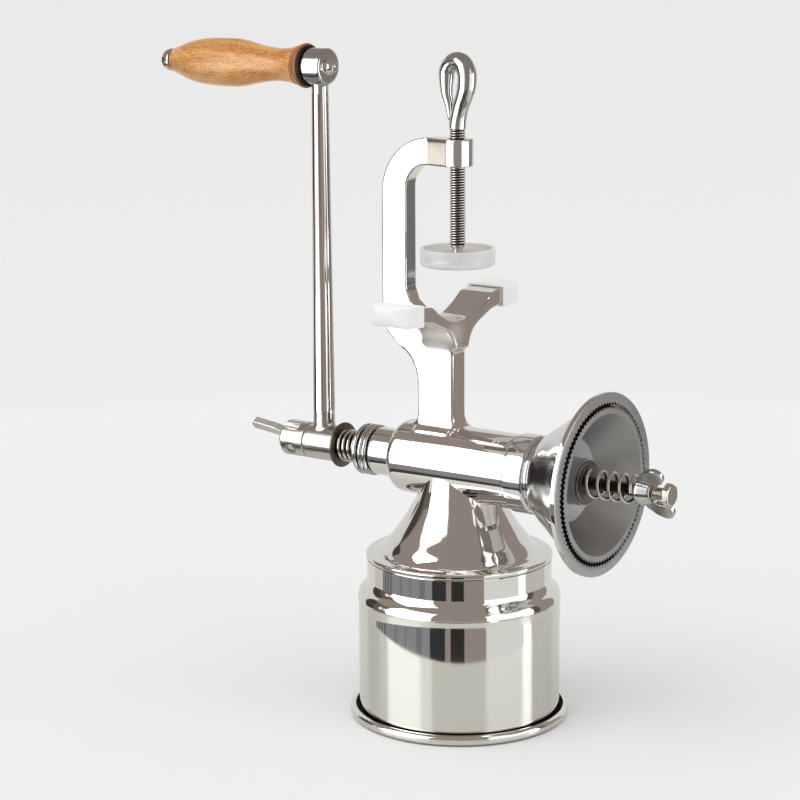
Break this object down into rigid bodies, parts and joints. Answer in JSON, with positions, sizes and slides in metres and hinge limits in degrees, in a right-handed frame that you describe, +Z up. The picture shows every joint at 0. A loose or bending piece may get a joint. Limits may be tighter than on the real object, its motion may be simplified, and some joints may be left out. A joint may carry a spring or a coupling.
{
  "type": "hand crank grain mill",
  "caption": "Clamp-on grain mill of polished steel with a round hopper, an auger in a barrel, a flared grinding bell and a long crank with a turned wooden grip.",
  "frame": {"origin": "centre of the hopper's mouth, on the surface that the mill stands on in the picture", "axes": "+Z up through the hopper, the body and the clamp screw; +X along the crank shaft from the crank towards the grinding bell; +Y across the fork of the clamp"},
  "size_m": [0.3067, 0.11, 0.3341],
  "materials": {
    "polished_cast": "mirror-polished cast stainless steel",
    "polished_bell": "mirror-polished outside, finely turned lip",
    "spun_sheet": "polished spun stainless sheet",
    "polished_crank": "polished forged steel",
    "turned_steel": "bright turned steel",
    "spring_wire": "bright spring wire",
    "plain_disc": "matte pressed steel",
    "matte_burr": "matte cast and machined grey steel",
    "soft_white": "milky silicone",
    "varnished_wood": "clear-varnished light wood"
  },
  "bodies": {
    "mill": {"mill_body": "polished_cast", "clamp_frame": "polished_cast", "foot_fork": "polished_cast", "bell_head": "polished_bell", "outer_burr": "matte_burr", "rear_collar": "turned_steel", "rear_spring": "spring_wire", "foot_cap_near": "soft_white", "foot_cap_far": "soft_white"},
    "hopper": {"hopper": "spun_sheet"},
    "drive": {"shaft": "turned_steel", "auger": "turned_steel", "inner_burr": "matte_burr", "washer_large": "turned_steel", "washer_small": "turned_steel", "tension_bolt": "turned_steel", "rear_washer": "turned_steel", "crank": "polished_crank", "lock_screw": "polished_crank", "lever_pin": "turned_steel", "grip_axle": "turned_steel", "grip_washer": "plain_disc", "grip_cap": "turned_steel"},
    "lever": {"lock_lever": "polished_crank"},
    "grip": {"wood_grip": "varnished_wood"},
    "spring_end": {"front_spring": "spring_wire"},
    "wing_nut": {"wing_nut": "turned_steel"},
    "pad": {"pad_disc": "plain_disc", "pad_cup": "soft_white"},
    "screw": {"clamp_screw": "turned_steel"}
  },
  "joints": [
    {"name": "hopper_lift", "type": "slide", "parent": "mill", "child": "hopper", "axis": [0, 0, -1], "range_m": [0, 0.03]},
    {"name": "crank_spin", "type": "hinge", "parent": "mill", "child": "drive", "pos_m": [0, 0, 0.129], "axis": [1, 0, 0], "continuous": true},
    {"name": "lever_fold", "type": "hinge", "parent": "drive", "child": "lever", "pos_m": [-0.0998, -0.00094, 0.13029], "axis": [0, 0.809, 0.5878], "range_deg": [-10, 80]},
    {"name": "grip_spin", "type": "hinge", "parent": "drive", "child": "grip", "pos_m": [-0.135, 0, 0.3217], "axis": [1, 0, 0], "continuous": true},
    {"name": "spring_press", "type": "slide", "parent": "drive", "child": "spring_end", "axis": [1, 0, 0], "range_m": [-0.008, 0.004], "deforming": ["front_spring"]},
    {"name": "wing_nut_turn", "type": "hinge", "parent": "spring_end", "child": "wing_nut", "pos_m": [0.105, 0, 0.129], "axis": [1, 0, 0], "range_deg": [-2910, 1470]},
    {"name": "pad_press", "type": "slide", "parent": "mill", "child": "pad", "axis": [0, 0, 1], "range_m": [-0.0055, 0.035]},
    {"name": "screw_turn", "type": "hinge", "parent": "pad", "child": "screw", "pos_m": [-0.0008, 0, 0.26], "axis": [0, 0, 1], "range_deg": [-1610, 10150]}
  ],
  "couplings": [
    {"joint": "wing_nut_turn", "follows": "spring_press", "rad_per_m": 6283.2},
    {"joint": "screw_turn", "follows": "pad_press", "rad_per_m": 5026.5}
  ]
}
